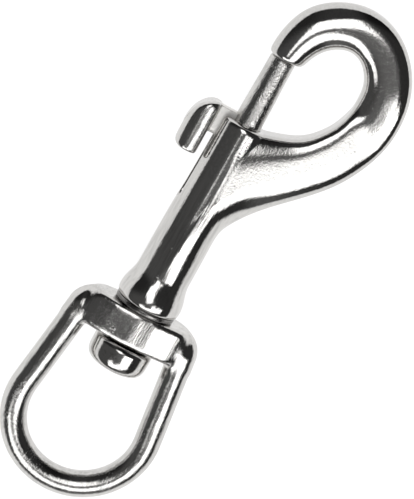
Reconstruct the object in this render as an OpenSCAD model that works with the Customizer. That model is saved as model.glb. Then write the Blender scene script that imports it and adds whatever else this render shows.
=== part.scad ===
// Swivel-eye bolt snap: a one-handed snap hook for ropes and halyards.
// A sprung bolt slides in a bored barrel and closes the hook against its nose.
// A headed stud in the tail of the barrel holds a swivelling eye.
// The barrel's axis is X, the hook bends in the XY plane, and Z is across it.
// The origin is the bearing point at the bottom of the eye, on the barrel's axis.

/* [Eye] */
// Radius of the round section of the bow
wire_r = 2.85; // [2.6:0.05:3.0]
// Radius of the bow's centre line at its round end
bow_r = 14.25; // [13.8:0.05:14.6]
// Angle by which each leg of the bow leans in towards the barrel, degrees
leg_lean = 7.4; // [6.5:0.1:8]
// Lower face of the crossbar
bar_low = 30.7; // [30.2:0.1:31]
// Upper face of the crossbar
bar_top = 38.4; // [38.2:0.1:38.4]
// Half thickness of the crossbar at the stud
bar_bulge = 5.4; // [5:0.1:5.8]

/* [Barrel] */
// Face of the tail, where the washer sits
tail_x = 39.6; // [39.5:0.1:39.8]
// Face of the mouth, where the bolt comes out
mouth_x = 82.2; // [82:0.1:82.4]
// Outer radius at the mouth
mouth_r = 5.2; // [5.1:0.05:5.4]
// Outer radius just above the bell
waist_r = 5.75; // [5.6:0.05:5.9]
// Largest radius of the bell at the tail
bell_r = 6.9; // [6.7:0.05:7]
// Half width of the slot that guides the lug
slot_half = 1.45; // [1.4:0.05:1.5]

/* [Hook] */
// Face of the nose, which the bolt closes against
nose_x = 97.3; // [97.2:0.1:97.5]
// Half thickness of the nose
nose_half = 3.6; // [3.3:0.1:3.8]
// Half thickness of the hook's bend and web
bend_half = 4.1; // [3.8:0.1:4.3]

/* [Bolt] */
// Radius of the bolt where it runs in the bore
bolt_r = 2.95; // [2.9:0.01:2.95]
// Radius of the bolt at its tip
bolt_tip_r = 2.7; // [2.6:0.05:2.8]
// Rear end of the bolt's full diameter
bolt_rear_x = 69; // [68.5:0.1:69.5]
// Travel of the bolt from shut to open
travel = 14.4; // [13.5:0.1:14.4]
// Half thickness of the web that joins the lug to the bolt
web_half = 1.2; // [1.1:0.05:1.2]
// Half thickness of the thumb lug
lug_half = 3.1; // [2.8:0.1:3.3]

/* [Stud] */
// Radius of the stud's shank
shank_r = 3; // [3:0.05:3]
// Radius of the stud's head
head_r = 6.45; // [6.2:0.05:6.6]
// Lowest face of the stud's head
head_low = 24.6; // [24.2:0.1:25]
// Inner end of the stud, which the spring bears on
stud_end_x = 47; // [46.8:0.1:47.2]

/* [Spring] */
// Number of turns of the return spring
spring_turns = 9; // [8:1:9]
// Radius of the spring's wire
spring_wire_r = 0.32; // [0.25:0.01:0.32]
// Radius of the coil to the middle of its wire
spring_coil_r = 2.35; // [2.3:0.01:2.4]

/* [Hidden] */
$fn = 96;
bore_r = bolt_r + 0.05;
eye_hole_r = shank_r + 0.08;
gap = 0.2;
lug_rear_x = 72;
web_rear_x = 77.2;
lug_top_x = 83.7;
lug_in_y = 6.5;
lug_out_y = 11.8;
tenon_depth = 4.6;
tenon_x = 80.4;
spigot_r = 1.9;
spigot_len = 2.5;
slot_end_x = web_rear_x - travel - 0.1;

// Stations round the hook, each with its inner point, its outer point, and its
// share of the way from the nose's half thickness to that of the bend
HOOK = [
    [[nose_x, -4.0], [nose_x, 3.3], 0],
    [[99.6, -4.8], [101.7, 3.1], 0.4],
    [[101.9, -6.1], [107.8, 1.0], 0.8],
    [[103.7, -8.1], [112.3, -4.0], 1],
    [[104.7, -10.8], [114.2, -10.7], 1],
    [[104.0, -13.5], [112.6, -17.5], 1],
    [[102.0, -15.5], [108.2, -22.8], 1],
    [[99.6, -16.6], [102.1, -26.1], 1],
    [[96.9, -16.9], [95.2, -27.1], 1],
    [[94.4, -16.8], [89.0, -26.3], 1],
    [[92.1, -16.2], [83.6, -24.2], 1],
    [[89.8, -15.2], [78.9, -21.3], 1],
    [[87.6, -13.7], [74.5, -17.4], 1],
    [[85.6, -11.8], [70.6, -13.5], 1],
    [[84.1, -9.3], [66.8, -10.1], 1],
    [[83.0, -6.3], [62.6, -7.2], 1],
    [[82.2, -3.6], [58.0, -5.0], 0.9],
    [[81.6, -1.6], [53.0, -3.4], 0.6]
];
RING_SIDES = 22;
RINGS_PER_STATION = 3;
SQUARENESS = 2.3;

// Smooth curve through a list of values, at a place counted in list steps
function between(list, i, t) =
    let (last = len(list) - 1,
         a = list[max(i - 1, 0)], b = list[i],
         c = list[min(i + 1, last)], d = list[min(i + 2, last)])
    0.5 * (2 * b + (c - a) * t + (2 * a - 5 * b + 4 * c - d) * t * t
           + (3 * b - a - 3 * c + d) * t * t * t);

// Point of a rounded section of half sizes 1 by 1, at an angle round it
function section(angle) =
    [sign(cos(angle)) * pow(abs(cos(angle)), 2 / SQUARENESS),
     sign(sin(angle)) * pow(abs(sin(angle)), 2 / SQUARENESS)];

// One ring of the hook, between an inner and an outer point
function hook_ring(inner, outer, half) =
    [for (k = [0 : RING_SIDES - 1])
        let (s = section(360 * (k + 0.5) / RING_SIDES),
             p = (inner + outer) / 2 + (outer - inner) / 2 * s[0])
        [p[0], p[1], half * s[1]]];

// Faces of a tube of rings, closed at both ends
function tube_faces(rings, sides) = concat(
    [[for (k = [0 : sides - 1]) k]],
    [for (i = [0 : rings - 2], k = [0 : sides - 1])
        [i * sides + k, (i + 1) * sides + k, i * sides + (k + 1) % sides]],
    [for (i = [0 : rings - 2], k = [0 : sides - 1])
        [i * sides + (k + 1) % sides, (i + 1) * sides + k,
         (i + 1) * sides + (k + 1) % sides]],
    [[for (k = [sides - 1 : -1 : 0]) (rings - 1) * sides + k]]);

// Turns a shape made along Z so that it lies along X
module along_x() { rotate([0, 90, 0]) children(); }

// Solid of revolution about the barrel's axis, from points of radius and place
module turned(points) { along_x() rotate_extrude() polygon(points); }

// Round hole or rod on the barrel's axis
module on_axis(x0, x1, r) { translate([x0, 0, 0]) along_x() cylinder(r = r, h = x1 - x0); }

// Quarter round of a turned profile: centre, radius, first and last angle
function round_edge(r, x, radius, a0, a1) =
    [for (k = [0 : 6]) let (a = a0 + (a1 - a0) * k / 6)
        [r + radius * cos(a), x + radius * sin(a)]];

// Bend, nose and web of the hook, running into the side of the barrel
module hook_bend() {
    spans = len(HOOK) - 1;
    rings = [for (i = [0 : spans - 1], s = [0 : RINGS_PER_STATION - 1])
                let (t = s / RINGS_PER_STATION,
                     inner = between([for (h = HOOK) h[0]], i, t),
                     outer = between([for (h = HOOK) h[1]], i, t),
                     share = between([for (h = HOOK) h[2]], i, t))
                hook_ring(inner, outer, nose_half + (bend_half - nose_half) * share),
             hook_ring(HOOK[spans][0], HOOK[spans][1], nose_half)];
    polyhedron([for (ring = rings, p = ring) p], tube_faces(len(rings), RING_SIDES), 4);
}

// Outside of the barrel, with the bell at its tail and a rounded mouth
module barrel() {
    bell_end_x = 47.5;
    turned(concat(
        [[0, tail_x]],
        round_edge(bell_r - 0.6, tail_x + 0.5, 0.5, -90, 0),
        [for (k = [0 : 12])
            let (t = k / 12)
            [waist_r + (bell_r - waist_r) * (1 + cos(180 * t)) / 2,
             tail_x + 1.8 + (bell_end_x - tail_x - 1.8) * t]],
        [[waist_r - 0.12, 57], [mouth_r + 0.15, 66]],
        round_edge(mouth_r - 0.7, mouth_x - 0.7, 0.7, 0, 90),
        [[0, mouth_x]]));
}

// Casting of barrel and hook, bored from the mouth and slotted for the lug
module hook_body() {
    clear_x = 90;
    color("silver") difference() {
        union() {
            barrel();
            hook_bend();
        }
        on_axis(stud_end_x, clear_x, bore_r);
        on_axis(tail_x - 1, stud_end_x + 0.01, shank_r);
        translate([slot_end_x + slot_half, 0, -slot_half])
            cube([mouth_x + 3 - slot_end_x, 9, 2 * slot_half]);
        translate([slot_end_x + slot_half, 0, 0])
            rotate([-90, 0, 0]) cylinder(r = slot_half, h = 9);
    }
}

// Sliding bolt: a rod that closes on the nose, with a spigot for the spring
module bolt() {
    tip_x = nose_x - 0.1;
    color("lightgray") difference() {
        turned(concat(
            [[0, bolt_rear_x - spigot_len], [spigot_r - 0.4, bolt_rear_x - spigot_len],
             [spigot_r, bolt_rear_x - spigot_len + 0.4], [spigot_r, bolt_rear_x],
             [bolt_r - 0.3, bolt_rear_x], [bolt_r, bolt_rear_x + 0.3],
             [bolt_r, mouth_x]],
            round_edge(bolt_tip_r - 0.35, tip_x - 0.35, 0.35, 0, 90),
            [[0, tip_x]]));
        tenon(9);
    }
}

// Round tenon that holds the lug in the bolt, or the hole for it
module tenon(length) {
    translate([tenon_x, bolt_r - tenon_depth, 0])
        rotate([-90, 0, 0]) cylinder(r = web_half, h = length);
}

// Outline of the thumb lug, with its shoulder rounded towards the nose
module lug_outline() {
    deep = lug_out_y - lug_in_y;
    long = lug_top_x - web_rear_x;
    polygon(concat(
        [[lug_rear_x + 0.2, lug_in_y]],
        [[lug_rear_x, lug_in_y + 0.2]],
        [for (k = [0 : 5]) let (a = 180 - 90 * k / 5)
            [lug_rear_x + 1.1 + 1.1 * cos(a), lug_out_y - 1.1 + 1.1 * sin(a)]],
        [for (k = [0 : 12]) let (a = 90 - 90 * k / 12)
            [web_rear_x + long * cos(a), lug_in_y + deep * sin(a)]]));
}

// Thumb lug with the web that passes through the slot and its tenon
module thumb_lug() {
    color("silver") union() {
        // Lug, rounded across its width
        intersection() {
            translate([0, 0, -lug_half]) linear_extrude(height = 2 * lug_half) lug_outline();
            translate([lug_rear_x - 1, lug_out_y - lug_half, 0]) along_x()
                cylinder(r = lug_half, h = 14);
        }
        difference() {
            union() {
                translate([web_rear_x + web_half, 2, -web_half])
                    cube([lug_top_x - web_rear_x - web_half, lug_in_y - 1.7, 2 * web_half]);
                translate([web_rear_x + web_half, 2, 0])
                    rotate([-90, 0, 0]) cylinder(r = web_half, h = lug_in_y - 1.7);
            }
            on_axis(web_rear_x - 1, lug_top_x + 1, bolt_r);
        }
        tenon(tenon_depth + 1);
    }
}

// Return spring: an open coil between the stud and the bolt
module return_spring() {
    steps = 14;
    sides = 8;
    count = spring_turns * steps;
    x0 = stud_end_x + spring_wire_r;
    run = bolt_rear_x - stud_end_x - 2 * spring_wire_r;
    color("gray") polyhedron(
        [for (i = [0 : count], k = [0 : sides - 1])
            let (turn = 360 * i / steps, a = 360 * k / sides,
                 r = spring_coil_r + spring_wire_r * cos(a))
            [x0 + run * i / count + spring_wire_r * sin(a), r * cos(turn), r * sin(turn)]],
        tube_faces(count + 1, sides), 4);
}

// Swivel stud: a headed rivet pressed into the tail of the barrel
module swivel_stud() {
    head_top = bar_low - gap;
    color("silver") turned(concat(
        [[0, head_low]],
        [[head_r - 3.4, head_low]],
        round_edge(head_r - 2.2, head_low + 2.2, 2.2, -72, 0),
        round_edge(head_r - 0.6, head_top - 0.6, 0.6, 0, 90),
        [[shank_r, head_top], [shank_r, stud_end_x - 0.4],
         [shank_r - 0.4, stud_end_x], [0, stud_end_x]]));
}

// Washer between the tail of the barrel and the crossbar
module thrust_washer() {
    rim_r = 6.5;
    edge = 0.3;
    color("darkgray") difference() {
        turned(concat(
            [[0, bar_top + gap]],
            round_edge(rim_r - edge, bar_top + gap + edge, edge, -90, 0),
            round_edge(rim_r - edge, tail_x - edge, edge, 0, 90),
            [[0, tail_x]]));
        on_axis(bar_top, tail_x + 1, shank_r + 0.1);
    }
}

// Outline of the crossbar seen across the eye, with rounded shoulders
module bar_outline() {
    shoulder = 3.2;
    low_y = 15.05;
    high_y = 14.5;
    polygon(concat(
        [[bar_low, -low_y], [bar_low, low_y]],
        [for (k = [0 : 8]) let (a = 90 - 90 * k / 8)
            [bar_top - shoulder + shoulder * cos(a), high_y - shoulder + shoulder * sin(a)]],
        [for (k = [0 : 8]) let (a = 90 * k / 8)
            [bar_top - shoulder + shoulder * cos(a), shoulder - high_y - shoulder * sin(a)]]));
}

// Half thickness of the crossbar at a distance from the stud
function bar_half(y) =
    let (reach = 10.6, arm_half = wire_r + 0.35, s = min(abs(y) / reach, 1))
    arm_half + (bar_bulge - arm_half) * (1 + cos(180 * s * s)) / 2;

// Crossbar, thickest round the stud and blending to the legs' thickness
module crossbar() {
    steps = 24;
    half_w = 16;
    ys = [for (k = [0 : steps]) -half_w + 2 * half_w * k / steps];
    intersection() {
        translate([0, 0, -8]) linear_extrude(height = 16) bar_outline();
        translate([bar_low - 1, 0, 0]) rotate([90, 0, 90])
            linear_extrude(height = bar_top - bar_low + 2)
                polygon(concat([for (y = ys) [y, bar_half(y)]],
                               [for (k = [steps : -1 : 0]) [ys[k], -bar_half(ys[k])]]));
    }
}

// Eye: a bow with a crossbar that turns on the stud, one casting
module swivel_eye() {
    centre_x = bow_r - wire_r;
    leg_r = wire_r - 0.05;
    lap = 0.8;
    foot = [centre_x + bow_r * sin(leg_lean), bow_r * cos(leg_lean)];
    leg_len = (bar_low + 3.4 - foot[0]) / cos(leg_lean);
    color("silver") difference() {
        union() {
            translate([centre_x, 0, 0]) rotate([0, 0, 90 - leg_lean])
                rotate_extrude(angle = 180 + 2 * leg_lean) translate([bow_r, 0])
                    circle(r = wire_r);
            for (side = [-1, 1])
                translate([foot[0], side * foot[1], 0])
                    rotate([0, 0, -side * leg_lean]) on_axis(-lap, leg_len, leg_r);
            crossbar();
        }
        on_axis(bar_low - 1, bar_top + 1, eye_hole_r);
    }
}

hook_body();
bolt();
thumb_lug();
return_spring();
swivel_stud();
thrust_washer();
swivel_eye();
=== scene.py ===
"""Swivel-eye bolt snap in polished stainless steel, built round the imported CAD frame."""
import math

import bpy
import numpy as np
from mathutils import Matrix, Vector


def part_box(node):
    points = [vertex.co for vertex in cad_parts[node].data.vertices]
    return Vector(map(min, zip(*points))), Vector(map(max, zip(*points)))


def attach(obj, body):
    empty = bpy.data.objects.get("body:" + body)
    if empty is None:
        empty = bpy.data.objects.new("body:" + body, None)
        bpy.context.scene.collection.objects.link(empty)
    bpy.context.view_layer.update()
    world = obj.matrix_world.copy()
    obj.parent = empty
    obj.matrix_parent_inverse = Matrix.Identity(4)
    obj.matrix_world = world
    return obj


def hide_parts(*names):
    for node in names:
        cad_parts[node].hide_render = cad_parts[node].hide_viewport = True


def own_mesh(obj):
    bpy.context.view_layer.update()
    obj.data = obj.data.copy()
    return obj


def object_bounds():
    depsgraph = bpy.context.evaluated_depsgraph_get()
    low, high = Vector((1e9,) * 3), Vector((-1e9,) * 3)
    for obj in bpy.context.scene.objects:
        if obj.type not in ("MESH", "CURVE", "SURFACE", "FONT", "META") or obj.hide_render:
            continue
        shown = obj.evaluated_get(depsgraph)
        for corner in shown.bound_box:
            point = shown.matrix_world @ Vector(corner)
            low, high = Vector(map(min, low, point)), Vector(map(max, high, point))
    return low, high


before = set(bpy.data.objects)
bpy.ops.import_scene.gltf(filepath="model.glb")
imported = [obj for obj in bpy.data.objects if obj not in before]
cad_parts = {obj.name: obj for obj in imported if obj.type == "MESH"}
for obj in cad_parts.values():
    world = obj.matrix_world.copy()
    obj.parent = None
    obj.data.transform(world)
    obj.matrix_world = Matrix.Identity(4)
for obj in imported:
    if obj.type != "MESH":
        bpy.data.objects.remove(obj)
cad_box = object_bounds()

MM = 0.001

# ---------------------------------------------------------------- dimensions, in millimetres
# Barrel: bore and mouth, waist and bell of its outside, and the slot for the thumb lug
BORE_R = 3.0
TAIL_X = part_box("hook_body")[0].x / MM
MOUTH_X = 82.2
MOUTH_R, WAIST_R, BELL_R = 5.2, 5.75, 6.9
TAPER_SPAN, BELL_SPAN = (46, 84), (40.6, 47.6)
TUCK, TUCK_LEN = 0.16, 1.7
SLOT_HALF = 1.45
SLOT_END_X = 62.7
MOUTH_EDGE, TAIL_EDGE, BORE_EDGE, SLOT_EDGE = 1.5, 1.2, 0.6, 0.7

# Hook: half thickness of nose and bend, and the web, whose faces lean in from the barrel
NOSE_X = 97.3
NOSE_HALF, BEND_HALF, NOSE_EDGE = 3.6, 3.65, 1.6
WEB_LEAN = math.radians(5.8)
WEB_LEAST, WEB_SOFT, WEB_INSET = 2.4, 0.8, 0.02
WEB_SPAN = (6.5, 9.8)    # stations between which the bend gives way to the web
# Squareness of the section's inner and outer side, at nose, bend, web and root, and the
# stations between which it changes from one to the next
INNER_POWER = (2.0, 2.6, 5.0, 5.0)
OUTER_POWER = (2.0, 3.4, 2.5, 1.65)
POWER_SPANS = ((2.5, 5.5), (8, 10), (12.0, 15.5))
# The root stops inside the barrel behind ROOT_X, and its fillet grows to the rear
ROOT_X, ROOT_CUT_Y, ROOT_EDGE = 89.0, -0.55, 0.4
ROOT_PAST = 2    # stations past the last at which the root ends
FILLET, FILLET_GROWTH, FILLET_SPAN = 0.3, 3.0, (52, 68)

# Stations round the hook: inner point, outer point, and half thickness as a share
# of the way from the nose's to the bend's
HOOK = [
    ((NOSE_X, -4.0), (NOSE_X, 3.3), 0.0),
    ((99.6, -4.8), (101.7, 3.1), 0.4),
    ((101.9, -6.1), (107.8, 1.0), 0.8),
    ((103.7, -8.1), (112.3, -4.0), 1.0),
    ((104.7, -10.8), (114.2, -10.7), 1.0),
    ((104.0, -13.5), (112.6, -17.5), 1.0),
    ((102.0, -15.5), (108.2, -22.8), 1.0),
    ((99.6, -16.6), (102.1, -26.1), 1.0),
    ((96.9, -16.9), (95.2, -27.1), 1.0),
    ((94.4, -16.8), (89.0, -26.3), 1.0),
    ((92.1, -16.2), (83.6, -24.2), 1.0),
    ((89.8, -15.2), (78.9, -21.3), 1.0),
    ((87.6, -13.7), (74.5, -17.4), 1.0),
    ((85.6, -11.8), (70.6, -13.5), 1.0),
    ((84.1, -9.3), (66.8, -10.1), 1.0),
    ((83.0, -6.3), (62.6, -7.2), 1.0),
    ((82.2, -3.6), (58.0, -5.0), 0.9),
    ((81.6, -1.6), (53.0, -3.4), 0.6),
]

# Eye: a wire bow with leaning legs, and a crossbar with rounded shoulders and domed faces
WIRE_R, BOW_R = 2.85, 14.25
BOW_X = BOW_R - WIRE_R
LEG_LEAN = math.radians(7.4)
LEG_INTO_BAR, LEG_FILLET = 2.6, 2.2
BAR_LOW, BAR_TOP = 30.7, 38.4
BAR_SIDE_Y, SHOULDER_R, BAR_LOW_EDGE = 14.4, 3.3, 1.2
BAR_BULGE, ARM_HALF, ARM_SOFT = 5.4, 2.5, 0.6
FACE_REACH = 13.0
EYE_HOLE_R, EYE_HOLE_EDGE = 3.08, 0.6
# The rounding of the crossbar's faces grows towards its shoulders
FACE_EDGE, EDGE_GROWTH, EDGE_SPAN = 1.8, 3.4, (8.0, 12.5)
# Unevenness left by hand polishing: depth, radians per millimetre, start, and fade to the ends
DOME_WAVE, WAVE_RATE, WAVE_START, WAVE_SPAN = 0.035, 1.35, 0.4, (-12, -7)

# Thumb lug, and the web that joins it to the bolt's rod
LUG_REAR_X, LUG_TOP_X, LUG_WEB_X = 72.0, 83.7, 77.2
LUG_IN_Y, LUG_OUT_Y, LUG_HALF = 6.5, 11.8, 3.1
LUG_WEB_IN_Y, LUG_WEB_HALF, LUG_WEB_DEEP, LUG_FILLET = 1.5, 1.2, 0.3, 0.8
LUG_REAR_EDGE, LUG_CROWN_EDGE, LUG_IN_EDGE, LUG_TOP_EDGE = 3.4, 1.2, 0.9, 0.4
ROD_R, LUG_INTO_ROD = 2.95, 0.05

FAR = 9.0    # a distance beyond the reach of every rounding


# ---------------------------------------------------------------- smooth curves
class Spline:
    """Smooth cubic curve through equally spaced stations, straight beyond its ends."""

    def __init__(self, values):
        self.v = np.array(values, float).reshape(len(values), -1)
        n = len(self.v)
        a = np.zeros((n, n))
        b = np.zeros_like(self.v)
        a[0, 0] = a[-1, -1] = 1
        for i in range(1, n - 1):
            a[i, i - 1:i + 2] = 1, 4, 1
            b[i] = 6 * (self.v[i - 1] - 2 * self.v[i] + self.v[i + 1])
        self.m = np.linalg.solve(a, b)

    def at(self, t):
        """Values and slopes at the places t."""
        last = len(self.v) - 1
        inner = np.clip(t, 0, last)
        i = np.minimum(inner.astype(int), last - 1)
        u = (inner - i)[:, None]
        p, q, mp, mq = self.v[i], self.v[i + 1], self.m[i], self.m[i + 1]
        w = 1 - u
        value = w * p + u * q + ((w ** 3 - w) * mp + (u ** 3 - u) * mq) / 6
        slope = q - p + ((1 - 3 * w ** 2) * mp + (3 * u ** 2 - 1) * mq) / 6
        return value + slope * (t - inner)[:, None], slope


class Strip:
    """The hook seen flat: finds how far along and how far across each point lies."""

    GUESS_CELL = 0.5
    BEFORE, BEYOND, ASIDE = 0.6, 2.2, 1.7
    STEPS_ALONG, STEPS_ACROSS = 24, 21
    FAR_SQUARED = 2.0
    CHUNKS = 40    # spares memory
    ROUNDS, LONGEST_T, LONGEST_S = 5, 0.5, 0.3

    def __init__(self, stations):
        self.last = len(stations) - 1
        self.curve = Spline([(*i, *o, s) for i, o, s in stations])
        t = np.linspace(-self.BEFORE, self.last + self.BEYOND, self.STEPS_ALONG * self.last)
        s = np.linspace(-self.ASIDE, self.ASIDE, self.STEPS_ACROSS)
        tt, ss = (g.ravel() for g in np.meshgrid(t, s, indexing="ij"))
        samples = self.place(tt, ss)[0]
        self.low = samples.min(0)
        count = ((samples.max(0) - self.low) / self.GUESS_CELL).astype(int) + 2
        gx, gy = np.meshgrid(*(np.arange(c) for c in count), indexing="ij")
        centres = np.stack([gx.ravel(), gy.ravel()], 1) * self.GUESS_CELL + self.low
        best = np.concatenate([
            ((c[:, None] - samples[None]) ** 2).sum(2).argmin(1)
            for c in np.array_split(centres, self.CHUNKS)])
        miss = ((samples[best] - centres) ** 2).sum(1)
        self.far = (miss > self.FAR_SQUARED).reshape(count)
        self.t0, self.s0 = tt[best].reshape(count), ss[best].reshape(count)

    def place(self, t, s):
        """Point at t along and s across, with its slopes along and across."""
        v, d = self.curve.at(t)
        mid, half = (v[:, :2] + v[:, 2:4]) / 2, (v[:, 2:4] - v[:, :2]) / 2
        dmid, dhalf = (d[:, :2] + d[:, 2:4]) / 2, (d[:, 2:4] - d[:, :2]) / 2
        s = s[:, None]
        return mid + half * s, dmid + dhalf * s, half, v[:, 4]

    def find(self, xy):
        """t, s, half width, thickness share, and whether a point is far from the strip."""
        cell = ((xy - self.low) / self.GUESS_CELL + 0.5).astype(int)
        out = ((cell < 0) | (cell >= self.t0.shape)).any(1)
        cell = np.clip(cell, 0, np.array(self.t0.shape) - 1)
        t, s = self.t0[cell[:, 0], cell[:, 1]], self.s0[cell[:, 0], cell[:, 1]]
        for _ in range(self.ROUNDS):
            p, dt, ds, share = self.place(t, s)
            miss = xy - p
            det = dt[:, 0] * ds[:, 1] - dt[:, 1] * ds[:, 0]
            det = np.where(np.abs(det) < 1e-3, 1e-3, det)
            step_t = (miss[:, 0] * ds[:, 1] - miss[:, 1] * ds[:, 0]) / det
            step_s = (dt[:, 0] * miss[:, 1] - dt[:, 1] * miss[:, 0]) / det
            t = t + np.clip(step_t, -self.LONGEST_T, self.LONGEST_T)
            s = s + np.clip(step_s, -self.LONGEST_S, self.LONGEST_S)
        return t, s, np.hypot(*ds.T), share, out | self.far[cell[:, 0], cell[:, 1]]


# ---------------------------------------------------------------- solids as distance fields
def blend_min(a, b, k):
    """Union of two fields with a smooth fillet about k wide."""
    h = np.maximum(k - np.abs(a - b), 0) / k
    return np.minimum(a, b) - h ** 3 * k / 6


def blend_max(a, b, k):
    """Intersection of two fields with a rounded edge."""
    return -blend_min(-a, -b, k)


def smooth_step(x, x0, x1):
    """Rises from 0 at x0 to 1 at x1, level at both ends."""
    t = np.clip((x - x0) / (x1 - x0), 0, 1)
    return t * t * t * (t * (6 * t - 15) + 10)


strip = Strip(HOOK)


def squareness(t, powers):
    """Squareness of the section at a place along the hook."""
    value = powers[0]
    for low, high, span in zip(powers, powers[1:], POWER_SPANS):
        value = value + (high - low) * smooth_step(t, *span)
    return value


def hook_field(p):
    """Barrel, web, bend and nose of the casting, with its bore and slot."""
    x, y, z = p.T
    r = np.hypot(y, z)
    taper = WAIST_R + (MOUTH_R - WAIST_R) * smooth_step(x, *TAPER_SPAN)
    # bend and web: the web's faces lean in from the crest of the barrel
    t, s, half_w, share, far = strip.find(p[:, :2])
    bend_t = NOSE_HALF + (BEND_HALF - NOSE_HALF) * np.clip(share, 0, 1)
    web_t = (taper - np.maximum(-y, 0) * math.sin(WEB_LEAN)) / math.cos(WEB_LEAN) - WEB_INSET
    web_t = blend_max(web_t, np.full_like(web_t, WEB_LEAST), WEB_SOFT)
    half_t = bend_t + (web_t - bend_t) * smooth_step(t, *WEB_SPAN)
    power = np.where(s < 0, squareness(t, INNER_POWER), squareness(t, OUTER_POWER))
    us, uz = np.abs(s), np.abs(z) / half_t
    size = np.maximum((us ** power + uz ** power) ** (1 / power), 1e-6)
    gs = (us / size) ** (power - 1) / half_w
    gz = (uz / size) ** (power - 1) / half_t
    bend = (size - 1) / np.maximum(np.hypot(gs, gz), 1e-3)
    # ends: the nose is cut square, and the root stops inside the barrel
    bend = blend_max(bend, np.where(t < strip.last / 4, NOSE_X - x, -FAR), NOSE_EDGE)
    bend = blend_max(bend, np.where(x < ROOT_X, y - ROOT_CUT_Y, -FAR), ROOT_EDGE)
    bend = np.maximum(bend, t - strip.last - ROOT_PAST)
    bend = np.where(far, FAR, bend)
    # barrel with its bell; the last factor keeps the field's slope at or below one
    bell = (BELL_R - WAIST_R) * (1 - smooth_step(x, *BELL_SPAN))
    tuck = TUCK * np.clip((TAIL_X + TUCK_LEN - x) / TUCK_LEN, 0, 1) ** 2
    barrel = (r - taper - bell + tuck) * 0.98
    barrel = blend_max(barrel, x - MOUTH_X, MOUTH_EDGE)
    barrel = blend_max(barrel, TAIL_X - x, TAIL_EDGE)
    fillet = FILLET + FILLET_GROWTH * (1 - smooth_step(x, *FILLET_SPAN))
    solid = blend_min(barrel, bend, fillet)
    # bore and slot, both open at the mouth and stopped before the nose
    open_x = (NOSE_X + MOUTH_X) / 2
    bore = np.maximum(r - BORE_R, x - open_x)
    solid = blend_max(solid, -bore, BORE_EDGE)
    end = SLOT_END_X + SLOT_HALF
    slot = np.where(x < end, np.hypot(x - end, z), np.abs(z)) - SLOT_HALF
    slot = np.maximum(slot, np.maximum(-y, x - open_x))
    return blend_max(solid, -slot, SLOT_EDGE)


def bar_half(y):
    """Half thickness of the crossbar: a shallow dome round the stud, between even arms."""
    dome = BAR_BULGE * np.sqrt(np.maximum(1 - (y / FACE_REACH) ** 2, 0))
    wave = np.sin(WAVE_RATE * y + WAVE_START)
    dome = dome + DOME_WAVE * wave * smooth_step(-np.abs(y), *WAVE_SPAN)
    return blend_max(dome, np.full_like(dome, ARM_HALF), ARM_SOFT)


def eye_field(p):
    """Bow and crossbar of the swivelling eye."""
    x, y, z = p.T
    ay = np.abs(y)
    # bow: a round end and two leaning legs
    angle = np.arctan2(x - BOW_X, ay)
    ring = np.abs(np.hypot(x - BOW_X, ay) - BOW_R)
    fx, fy = BOW_X + BOW_R * math.sin(LEG_LEAN), BOW_R * math.cos(LEG_LEAN)
    dx, dy = math.cos(LEG_LEAN), -math.sin(LEG_LEAN)
    along = (x - fx) * dx + (ay - fy) * dy
    past = np.maximum(along - (BAR_LOW + LEG_INTO_BAR - fx) / dx, 0)
    across = -(x - fx) * dy + (ay - fy) * dx
    leg = np.hypot(across, past)
    bow = np.hypot(np.where(angle < LEG_LEAN, ring, leg), z) - WIRE_R
    # crossbar: rounded shoulders and a swollen middle, its field's slope kept below one
    lean_y = BAR_SIDE_Y - (x - BAR_LOW) * math.tan(LEG_LEAN)
    qx = x - (BAR_TOP - SHOULDER_R)
    qy = ay - (lean_y - SHOULDER_R)
    outline = (np.hypot(np.maximum(qx, 0), np.maximum(qy, 0))
               + np.minimum(np.maximum(qx, qy), 0) - SHOULDER_R)
    outline = blend_max(outline, BAR_LOW - x, BAR_LOW_EDGE)
    edge = FACE_EDGE + EDGE_GROWTH * smooth_step(ay, *EDGE_SPAN)
    bar = blend_max(outline, (np.abs(z) - bar_half(y)) * 0.95, edge)
    solid = blend_min(bow, bar, LEG_FILLET)
    # the hole for the stud goes through the crossbar and leaves the bow whole
    hole = np.where(x < BAR_LOW - 4, -FAR, EYE_HOLE_R - np.hypot(y, z))
    return blend_max(solid, hole, EYE_HOLE_EDGE)


def lug_field(p):
    """Thumb lug with its shoulder, and the web that joins it to the bolt."""
    x, y, z = p.T
    deep = LUG_OUT_Y - LUG_IN_Y
    nose = np.maximum(x - LUG_WEB_X, 0) / (LUG_TOP_X - LUG_WEB_X)
    outer = (np.hypot(nose, np.maximum(y - LUG_IN_Y, 0) / deep) - 1) * deep
    lug = blend_max(outer, LUG_REAR_X - x, LUG_REAR_EDGE)
    crown = np.hypot(y - (LUG_OUT_Y - LUG_HALF), z) - LUG_HALF
    lug = blend_max(lug, crown, LUG_CROWN_EDGE)
    lug = blend_max(lug, LUG_IN_Y - y, LUG_IN_EDGE)
    lug = blend_max(lug, x - LUG_TOP_X, LUG_TOP_EDGE)
    end = LUG_WEB_X + LUG_WEB_HALF
    web = np.where(x < end, np.hypot(x - end, z), np.abs(z)) - LUG_WEB_HALF
    web = blend_max(web, x - LUG_TOP_X, LUG_TOP_EDGE)
    web = np.maximum(web, np.maximum(LUG_WEB_IN_Y - y, outer + LUG_WEB_DEEP))
    solid = blend_min(lug, web, LUG_FILLET)
    return np.maximum(solid, ROD_R - LUG_INTO_ROD - np.hypot(y, z))


# ---------------------------------------------------------------- meshing
def gradient(field, p, step=0.01):
    """Slope of a field at points."""
    out = np.empty_like(p)
    for k in range(3):
        shift = np.zeros(3)
        shift[k] = step
        out[:, k] = (field(p + shift) - field(p - shift)) / (2 * step)
    return out


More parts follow.
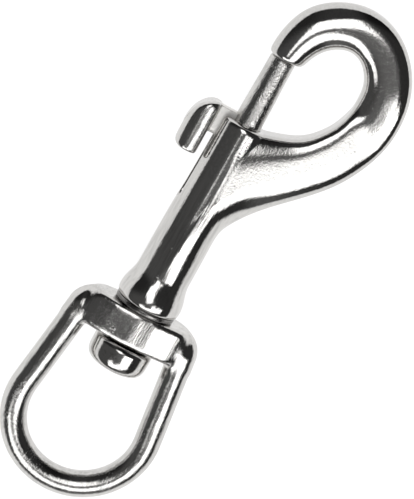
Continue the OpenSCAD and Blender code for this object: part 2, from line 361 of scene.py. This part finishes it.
def surface_net(values, low, cell):
    """Vertices and quads of the surface where grid values change sign."""
    quads, places = [], []
    shape = values.shape
    for d in range(3):
        a = np.moveaxis(np.moveaxis(values, d, 0)[:-1], 0, d)
        b = np.moveaxis(np.moveaxis(values, d, 0)[1:], 0, d)
        at = np.argwhere((a < 0) != (b < 0))
        va, vb = a[tuple(at.T)], b[tuple(at.T)]
        place = at.astype(float)
        place[:, d] += va / (va - vb)
        u, v = (d + 1) % 3, (d + 2) % 3
        corners = []
        for du, dv in ((0, 0), (1, 0), (1, 1), (0, 1)):
            c = at.copy()
            c[:, u] -= du
            c[:, v] -= dv
            corners.append(np.ravel_multi_index(c.T, shape))
        quad = np.stack(corners, 1)
        quads.append(np.where((va < 0)[:, None], quad, quad[:, ::-1]))
        places.append(np.repeat(place, 4, 0).reshape(-1, 4, 3))
    quads, places = np.concatenate(quads), np.concatenate(places)
    quads = np.unique(quads, return_inverse=True)[1].reshape(-1, 4)
    count = np.bincount(quads.ravel())
    verts = np.stack([np.bincount(quads.ravel(), places[..., k].ravel()) / count
                      for k in range(3)], 1)
    return verts * cell + low, quads


def relax(field, verts, quads, rounds, evening=0.6, least_slope=0.04, longest=0.3):
    """Evens out the mesh along the surface and puts every vertex exactly on it."""
    a = np.concatenate([quads, np.roll(quads, -1, 1)], 1).ravel()
    b = np.concatenate([np.roll(quads, -1, 1), quads], 1).ravel()
    count = np.bincount(a)
    for i in range(rounds + 2):
        if i < rounds:
            mean = np.stack([np.bincount(a, verts[b, k]) / count for k in range(3)], 1)
            verts = verts + evening * (mean - verts)
        slope = gradient(field, verts)
        push = field(verts) / np.maximum((slope ** 2).sum(1), least_slope)
        verts = verts - slope * np.clip(push, -longest, longest)[:, None]
    slope = gradient(field, verts)
    return verts, slope / np.linalg.norm(slope, axis=1)[:, None]


def solid_piece(name, field, low, high, cell, rounds=4, chunks=24):
    """Mesh of a distance field, with exact normals from the field."""
    axes = [np.arange(a - 2 * cell, b + 3 * cell, cell) for a, b in zip(low, high)]
    grid = np.stack(np.meshgrid(*axes, indexing="ij"), -1)
    shape = grid.shape[:3]
    values = np.concatenate([field(g.reshape(-1, 3)) for g in np.array_split(grid, chunks)])
    start = np.array([a[0] for a in axes])
    verts, quads = surface_net(values.reshape(shape), start, cell)
    verts, normals = relax(field, verts, quads, rounds)
    mesh = bpy.data.meshes.new(name)
    mesh.from_pydata(verts * MM, [], quads.tolist())
    mesh.validate()
    for poly in mesh.polygons:
        poly.use_smooth = True
    mesh.normals_split_custom_set_from_vertices(normals.tolist())
    return link(name, mesh)


def link(name, mesh):
    """Object in the scene that shows a mesh."""
    obj = bpy.data.objects.new(name, mesh)
    bpy.context.scene.collection.objects.link(obj)
    return obj


def smooth_mesh(name, verts, faces, sharp):
    """Smooth-shaded mesh with its edges above an angle, in degrees, kept sharp."""
    mesh = bpy.data.meshes.new(name)
    mesh.from_pydata(verts, [], faces)
    mesh.validate()
    for poly in mesh.polygons:
        poly.use_smooth = True
    mesh.set_sharp_from_angle(angle=math.radians(sharp))
    return link(name, mesh)


def arc(r, x, radius, a0, a1, steps):
    """Points of an arc in a turned profile, as radius and place along the axis."""
    return [(r + radius * math.cos(math.radians(a)), x + radius * math.sin(math.radians(a)))
            for a in np.linspace(a0, a1, steps)]


def turned_piece(name, profile, segments=160):
    """Solid of revolution about the barrel's axis.

    A profile that ends where it began makes a ring; the ends of any other are closed
    by flat discs.
    """
    ring = profile[0] == profile[-1]
    rows = profile[:-1] if ring else profile
    turns = [2 * math.pi * k / segments for k in range(segments)]
    verts = [(x * MM, r * math.cos(a) * MM, r * math.sin(a) * MM)
             for r, x in rows for a in turns]
    faces = []
    for i in range(len(rows) if ring else len(rows) - 1):
        low, high = i * segments, (i + 1) % len(rows) * segments
        for k in range(segments):
            n = (k + 1) % segments
            faces.append((low + k, low + n, high + n, high + k))
    if not ring:
        faces.append(list(reversed(range(segments))))
        faces.append(list(range(len(verts) - segments, len(verts))))
    return smooth_mesh(name, verts, faces, sharp=32)


def spring_piece(name, x0, x1, coil_r, wire_r, turns, steps=48, sides=14):
    """Coil spring with closed ends, as one capped tube."""
    closed = 1.0
    pitch = (x1 - x0 - 2 * wire_r * (1 + 2 * closed)) / (turns - 2 * closed)

    def along(turn):
        ends = min(turn, closed) + max(turn - (turns - closed), 0)
        middle = min(turn, turns - closed) - min(turn, closed)
        return x0 + wire_r + 2 * wire_r * ends + pitch * middle

    count = int(turns * steps)
    verts, faces = [], []
    for i in range(count + 1):
        turn = turns * i / count
        angle = 2 * math.pi * turn
        for k in range(sides):
            a = 2 * math.pi * k / sides
            r = coil_r + wire_r * math.cos(a)
            verts.append(((along(turn) + wire_r * math.sin(a)) * MM,
                          r * math.cos(angle) * MM, r * math.sin(angle) * MM))
    for i in range(count):
        for k in range(sides):
            n = (k + 1) % sides
            low, high = i * sides, (i + 1) * sides
            faces.append((low + k, high + k, high + n, low + n))
    faces.append(list(range(sides)))
    faces.append(list(reversed(range(count * sides, (count + 1) * sides))))
    return smooth_mesh(name, verts, faces, sharp=50)


# ---------------------------------------------------------------- materials
class Nodes:
    """Short way to add and join shader nodes."""

    def __init__(self, tree):
        self.tree = tree
        tree.nodes.clear()

    def add(self, kind, inputs=None, **settings):
        """New node, with its inputs set to values or joined to other nodes' outputs."""
        node = self.tree.nodes.new(kind)
        for key, value in settings.items():
            setattr(node, key, value)
        for key, value in (inputs or {}).items():
            if isinstance(value, bpy.types.NodeSocket):
                self.tree.links.new(value, node.inputs[key])
            else:
                node.inputs[key].default_value = value
        return node

    def math(self, operation, a, b=0.0):
        """Result of an operation on one or two values."""
        return self.add("ShaderNodeMath", {0: a, 1: b}, operation=operation).outputs[0]

    def spread(self, value, low, high, to_low, to_high):
        """Maps a range of a value smoothly onto another."""
        node = self.add("ShaderNodeMapRange", {
            "Value": value, "From Min": low, "From Max": high,
            "To Min": to_low, "To Max": to_high}, interpolation_type="SMOOTHSTEP")
        return node.outputs["Result"]

    def blend(self, factor, a, b):
        """Value a where the factor is 0 and b where it is 1."""
        return self.add("ShaderNodeMix", {0: factor, 2: a, 3: b}).outputs[0]

    def noise(self, place, scale, detail, roughness, distortion=0.0):
        """Soft random values between 0 and 1."""
        return self.add("ShaderNodeTexNoise", {
            "Vector": place, "Scale": scale, "Detail": detail, "Roughness": roughness,
            "Distortion": distortion}).outputs["Fac"]


# Marks per metre: specks, drawn marks, even grain, bands, patches and the slow ripple
SPECKS, MARKS, GRAINS, BANDS, PATCHES, RIPPLES = 2600, 2300, 1900, 620, 240, 90
STAIN_SHADE = 0.80
# The first colour is a painted reflection of the bright floor, paler than the steel, for the
# lug's web by the rod; the roughness and grain are those of its matte casting
PAINTED_FLOOR_REFLECTION_COLOUR, RAW_ROUGHNESS, RAW_GRAIN = (0.90, 0.885, 0.86, 1), 0.6, 0.02


def steel(name, colour, rough, worn, grain, streak, wave, drawn=0.1, matte_with_painted_reflection=None, fade=None):
    """Polished steel: fine grain, drawn polishing marks, broad streaks and a slow ripple.

    rough and worn are the roughness where the polish is best and worst. grain, streak
    and wave are the depths of the marks in millimetres, from fine to broad, and drawn
    is the scale of the marks along X: the smaller, the longer they are.
    matte_with_painted_reflection is a range of the distance from the XZ plane, in
    millimetres, over which an unpolished casting, matte and painted pale as a painted
    reflection of the bright floor, gives way to polish, and fade a range of X over which
    the drawn marks give way to even grain.
    """
    mat = bpy.data.materials.new(name)
    mat.use_nodes = True
    n = Nodes(mat.node_tree)
    place = n.add("ShaderNodeTexCoord").outputs["Object"]
    along = n.add("ShaderNodeMapping", {
        "Vector": place, "Scale": (drawn, 1, 1)}).outputs["Vector"]
    speck = n.noise(place, SPECKS, 3, 0.65)
    marks = n.noise(along, MARKS, 3, 0.6)
    bands = n.noise(along, BANDS, 3, 0.55)
    if fade:
        where = n.add("ShaderNodeSeparateXYZ", {"Vector": place}).outputs["X"]
        even = n.spread(where, fade[0] * MM, fade[1] * MM, 0, 1)
        marks = n.blend(even, marks, n.noise(place, GRAINS, 3, 0.6))
        bands = n.blend(even, bands, 0.5)
    patch = n.noise(place, PATCHES, 3, 0.6, 0.4)
    ripple = n.noise(place, RIPPLES, 2, 0.45)
    # roughness and colour follow the marks
    dull = n.math("MULTIPLY", n.spread(bands, 0.40, 0.66, 0.1, 1),
                  n.spread(speck, 0.36, 0.66, 0, 1))
    patchy = n.spread(patch, 0.38, 0.66, 0.25, 1)
    roughness = n.spread(n.math("MULTIPLY", dull, patchy), 0, 1, rough, worn)
    stain = n.math("MULTIPLY", n.spread(bands, 0.38, 0.64, 0, 1),
                   n.spread(marks, 0.36, 0.62, 0.15, 1))
    shade = n.add("ShaderNodeMix", {0: stain}, data_type="RGBA")
    shade.inputs[6].default_value = (*colour, 1)
    shade.inputs[7].default_value = (*(c * STAIN_SHADE for c in colour), 1)
    # relief, in metres
    depth = n.math("MULTIPLY", n.math("ADD", marks, speck), grain * MM)
    depth = n.math("ADD", depth, n.math("MULTIPLY", bands, streak * MM))
    if matte_with_painted_reflection:
        # The lug's web by the rod is made matte, and its colour is painted pale as a painted
        # reflection of the bright floor
        off_plane = n.add("ShaderNodeSeparateXYZ", {"Vector": place}).outputs["Y"]
        across = n.math("ABSOLUTE", off_plane)
        matte_and_reflection_mask = n.spread(across, matte_with_painted_reflection[0] * MM, matte_with_painted_reflection[1] * MM, 1, 0)
        roughness = n.spread(matte_and_reflection_mask, 0, 1, roughness, RAW_ROUGHNESS)
        painted_reflection_mix = n.add("ShaderNodeMix", {0: matte_and_reflection_mask, 6: shade.outputs[2]}, data_type="RGBA")
        painted_reflection_mix.inputs[7].default_value = PAINTED_FLOOR_REFLECTION_COLOUR
        shade = painted_reflection_mix
        bare_speck = n.math("MULTIPLY", speck, matte_and_reflection_mask)
        depth = n.math("ADD", depth, n.math("MULTIPLY", bare_speck, RAW_GRAIN * MM))
    depth = n.math("ADD", depth, n.math("MULTIPLY", ripple, wave * MM))
    bump = n.add("ShaderNodeBump", {"Height": depth, "Strength": 1.0, "Distance": 1.0})
    shader = n.add("ShaderNodeBsdfPrincipled", {
        "Base Color": shade.outputs[2], "Metallic": 1.0,
        "Roughness": roughness, "Normal": bump.outputs[0]})
    n.add("ShaderNodeOutputMaterial", {"Surface": shader.outputs[0]})
    return mat


def finish_piece(obj, mat, body, node):
    """Paints a piece, sets it on its body and lets it stand for its CAD node."""
    obj.data.materials.append(mat)
    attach(obj, body)
    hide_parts(node)


STEEL = (0.60, 0.59, 0.575)
cast_mat = steel("cast_polish", STEEL, 0.06, 0.22, 0.013, 0.060, 0.06, fade=(62, 74))
eye_mat = steel("eye_polish", STEEL, 0.08, 0.34, 0.030, 0.050, 0.06)
# The lug's web by the rod is painted pale, a painted reflection of the bright floor, and made
# matte
lug_mat = steel("lug_polish_with_painted_reflection", STEEL, 0.08, 0.34, 0.030, 0.030, 0.06, matte_with_painted_reflection=(6.3, 6.9))
rod_mat = steel("rod_polish", STEEL, 0.09, 0.40, 0.060, 0.030, 0.02, drawn=0.4)
stud_mat = steel("stud_polish", STEEL, 0.06, 0.26, 0.012, 0.010, 0.04, drawn=1.0)
washer_mat = steel("washer_dark", (0.20, 0.195, 0.19), 0.22, 0.42, 0.020, 0.010, 0.03, drawn=1.0)
wire_mat = steel("spring_satin", (0.62, 0.615, 0.60), 0.18, 0.34, 0.010, 0.006, 0.01, drawn=1.0)


# ---------------------------------------------------------------- pieces
# Each solid is meshed in a box, given by two corners, with cells of the last size
body = solid_piece("hook_casting", hook_field, (39.4, -27.6, -7.2), (114.8, 7.2, 7.2), 0.26)
finish_piece(body, cast_mat, "barrel", "hook_body")

eye = solid_piece("eye_casting", eye_field, (-5.8, -17.5, -6.0), (38.8, 17.5, 6.0), 0.25)
finish_piece(eye, eye_mat, "eye", "swivel_eye")

lug = solid_piece("thumb_tab", lug_field, (71.6, 1.2, -3.4), (84.2, 12.2, 3.4), 0.13)
finish_piece(lug, lug_mat, "bolt", "thumb_lug")

# Radius of the flat discs that close the ends of turned pieces
CORE_R = 0.4

TIP_X, TIP_R, TIP_EDGE = NOSE_X - 0.1, 2.7, 0.45
BOLT_REAR_X, REAR_EDGE = 69.0, 0.3
SPIGOT_R, SPIGOT_LEN = 1.9, 2.5
bolt = turned_piece("bolt_rod", [
    (CORE_R, BOLT_REAR_X - SPIGOT_LEN),
    (SPIGOT_R - REAR_EDGE, BOLT_REAR_X - SPIGOT_LEN),
    *arc(SPIGOT_R - REAR_EDGE, BOLT_REAR_X - SPIGOT_LEN + REAR_EDGE, REAR_EDGE, -80, 0, 5),
    (SPIGOT_R, BOLT_REAR_X - 0.05), (SPIGOT_R + 0.05, BOLT_REAR_X),
    *arc(ROD_R - REAR_EDGE, BOLT_REAR_X + REAR_EDGE, REAR_EDGE, -90, 0, 6),
    *[(ROD_R, x) for x in np.linspace(70, MOUTH_X, 12)],
    *[(ROD_R + (TIP_R - ROD_R) * (1 - math.cos(math.pi * t)) / 2,
       MOUTH_X + (TIP_X - 0.5 - MOUTH_X) * t) for t in np.linspace(0.08, 0.98, 20)],
    *arc(TIP_R - TIP_EDGE, TIP_X - TIP_EDGE, TIP_EDGE, 0, 90, 10),
    (CORE_R, TIP_X)])
finish_piece(bolt, rod_mat, "bolt", "bolt")

# Stud: its head has a slightly hollow end, a domed rim and a rounded back
HEAD_R, HEAD_LOW, HEAD_TOP, BACK_EDGE = 6.45, 24.6, BAR_LOW - 0.2, 1.1
FLAT_R, HOLLOW = 1.6, 0.12
RIM_R, RIM_DEEP, RIM_POWER = 2.6, 3.3, 0.72
SHANK_R, NECK_EDGE, SHANK_EDGE, STUD_END_X = 3.0, 0.25, 0.35, 47.0
stud = turned_piece("stud_rivet", [
    (CORE_R, HEAD_LOW), (FLAT_R, HEAD_LOW + 0.01),
    *[(r, HEAD_LOW + HOLLOW * ((r - FLAT_R) / (HEAD_R - 3.8)) ** 2)
      for r in np.linspace(2.0, HEAD_R - 2.7, 6)],
    *[(HEAD_R - RIM_R + RIM_R * math.cos(a) ** RIM_POWER,
       HEAD_LOW + RIM_DEEP - RIM_DEEP * math.sin(a) ** RIM_POWER)
      for a in np.radians(np.linspace(80, 1, 26))],
    *arc(HEAD_R - BACK_EDGE, HEAD_TOP - BACK_EDGE, BACK_EDGE, 0, 90, 14),
    (SHANK_R + 0.3, HEAD_TOP),
    *arc(SHANK_R + NECK_EDGE, HEAD_TOP + NECK_EDGE, -NECK_EDGE, 90, 0, 5),
    *[(SHANK_R, x) for x in np.linspace(HEAD_TOP + 1, STUD_END_X - 0.4, 10)],
    *arc(SHANK_R - SHANK_EDGE, STUD_END_X - SHANK_EDGE, SHANK_EDGE, 0, 90, 6),
    (CORE_R, STUD_END_X)])
finish_piece(stud, stud_mat, "barrel", "swivel_stud")

WASHER_R, WASHER_X, WASHER_EDGE = 6.5, BAR_TOP + 0.2, 0.32
WASHER_IN_R, CHAMFER = SHANK_R + 0.1, 0.15
washer = turned_piece("washer_ring", [
    (WASHER_IN_R, WASHER_X + CHAMFER), (SHANK_R + 0.25, WASHER_X),
    *arc(WASHER_R - WASHER_EDGE, WASHER_X + WASHER_EDGE, WASHER_EDGE, -90, 0, 8),
    *arc(WASHER_R - WASHER_EDGE, TAIL_X - WASHER_EDGE, WASHER_EDGE, 0, 90, 8),
    (SHANK_R + 0.25, TAIL_X), (WASHER_IN_R, TAIL_X - CHAMFER),
    (WASHER_IN_R, WASHER_X + CHAMFER)])
finish_piece(washer, washer_mat, "barrel", "thrust_washer")

SPRING_R, SPRING_WIRE_R, SPRING_TURNS = 2.35, 0.32, 10
spring = spring_piece("spring_coil", STUD_END_X, BOLT_REAR_X,
                      SPRING_R, SPRING_WIRE_R, SPRING_TURNS)
finish_piece(spring, wire_mat, "barrel", "return_spring")
# The coil is 22 mm long at rest and 7.6 mm with the bolt drawn back
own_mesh(spring)


# ---------------------------------------------------------------- floor, light and camera
# The eye sticks out furthest along +Y at rest, and swings that far down as it turns
FLOOR_Z = -cad_box[1].y - 0.0005
FLOOR_HALF = 6.0
FLOOR_GREY, FLOOR_GLOW = (0.22, 0.22, 0.22, 1), 0.95


def white_floor():
    """Level sheet under the part that shows white by its own light."""
    mesh = bpy.data.meshes.new("floor")
    corners = [(x * FLOOR_HALF, y * FLOOR_HALF, FLOOR_Z)
               for x, y in ((-1, -1), (1, -1), (1, 1), (-1, 1))]
    mesh.from_pydata(corners, [], [(0, 1, 2, 3)])
    mat = bpy.data.materials.new("floor_white")
    mat.use_nodes = True
    nodes = Nodes(mat.node_tree)
    paper = nodes.add("ShaderNodeBsdfPrincipled", {
        "Base Color": FLOOR_GREY, "Roughness": 0.9,
        "Emission Color": (1, 1, 1, 1), "Emission Strength": FLOOR_GLOW})
    nodes.add("ShaderNodeOutputMaterial", {"Surface": paper.outputs[0]})
    mesh.materials.append(mat)
    return link("floor", mesh)


floor = white_floor()

# How far the camera leans from straight above, and how far the picture is turned
TILT, TURN = math.radians(15.7), math.radians(28.418)
up_sheet = Vector((math.cos(TURN), math.sin(TURN), 0))
right_sheet = Vector((math.sin(TURN), -math.cos(TURN), 0))


def studio_world():
    """White below, and above the horizon a dim room, darkest to the right and the top."""
    world = bpy.data.worlds.new("studio")
    world.use_nodes = True
    n = Nodes(world.node_tree)
    direction = n.add("ShaderNodeTexCoord").outputs["Generated"]
    height = n.add("ShaderNodeSeparateXYZ", {"Vector": direction}).outputs["Z"]

    def facing(axis):
        """How far a direction of view lies along an axis."""
        return n.add("ShaderNodeVectorMath", {0: direction, 1: axis},
                     operation="DOT_PRODUCT").outputs["Value"]

    rightward = facing(right_sheet)
    upward = facing(up_sheet)
    diagonal = facing((right_sheet + up_sheet).normalized())
    # the horizon tips up a little along the diagonal
    edge = n.math("ADD", height, n.math("MULTIPLY", diagonal, 0.05))
    # the room's light rises from left to middle, and falls to the right and to the top
    dim = n.math("MULTIPLY", n.spread(rightward, -0.5, 0.05, 0.085, 0.17),
                 n.spread(rightward, 0.1, 0.4, 1, 0.22))
    dim = n.math("MULTIPLY", dim, n.spread(upward, 0.2, 0.6, 1, 0.3))
    glow = n.spread(edge, 0.08, 0.13, 1.0, dim)
    background = n.add("ShaderNodeBackground", {"Color": (1, 1, 1, 1), "Strength": glow})
    n.add("ShaderNodeOutputWorld", {"Surface": background.outputs[0]})
    return world


bpy.context.scene.world = studio_world()

LIGHT_DISTANCE = 1.5


def softbox(name, across, above, wide, tall, radiance, shape="RECTANGLE"):
    """Area light in a direction given by its angles from straight above, in degrees.

    across is towards the right of the picture and above towards its top; wide and
    tall are the angles that the light fills.
    """
    angle = math.radians(math.hypot(across, above))
    lean = (right_sheet * across + up_sheet * above).normalized()
    z = lean * math.sin(angle) + Vector((0, 0, math.cos(angle)))
    x = (right_sheet - z * right_sheet.dot(z)).normalized()
    light = bpy.data.lights.new(name, "AREA")
    light.shape = shape
    light.size = 2 * LIGHT_DISTANCE * math.tan(math.radians(wide / 2))
    light.size_y = 2 * LIGHT_DISTANCE * math.tan(math.radians(tall / 2))
    light.energy = radiance * math.pi * light.size * light.size_y
    obj = bpy.data.objects.new(name, light)
    bpy.context.scene.collection.objects.link(obj)
    turn = Matrix((x, z.cross(x), z)).transposed().to_4x4()
    centre = (cad_box[0] + cad_box[1]) / 2
    obj.matrix_world = Matrix.Translation(centre + z * LIGHT_DISTANCE) @ turn
    obj.visible_camera = False


# name, across, above, wide, tall, radiance
softbox("overhead", 0, 11, 22, 32, 2.1)
softbox("front", -5, -38, 64, 26, 2.1)
softbox("side", 11.3, -24, 11.4, 17, 2.1)
softbox("low_side", 21, -28, 14, 10, 2.1)
softbox("left", -30, -19, 16, 13, 1.6)
softbox("lamp", 33, -34, 8, 8, 2.8, "ELLIPSE")

LENS, SENSOR = 196.09, 36
CAMERA_DISTANCE = 0.55
TARGET = Vector((0.05542, -0.00534, 0))
towards_camera = up_sheet * math.sin(TILT) + Vector((0, 0, math.cos(TILT)))
up = up_sheet * math.cos(TILT) - Vector((0, 0, math.sin(TILT)))
right = up.cross(towards_camera)
camera = bpy.data.cameras.new("camera")
camera.sensor_width = SENSOR
camera.lens = LENS
camera.clip_start, camera.clip_end = 0.01, 20
camera_obj = bpy.data.objects.new("camera", camera)
bpy.context.scene.collection.objects.link(camera_obj)
facing_target = Matrix((right, up, towards_camera)).transposed().to_4x4()
camera_obj.matrix_world = (
    Matrix.Translation(TARGET + towards_camera * CAMERA_DISTANCE) @ facing_target)
bpy.context.scene.camera = camera_obj

bpy.context.scene.view_settings.view_transform = "Standard"
bpy.context.scene.view_settings.look = "None"
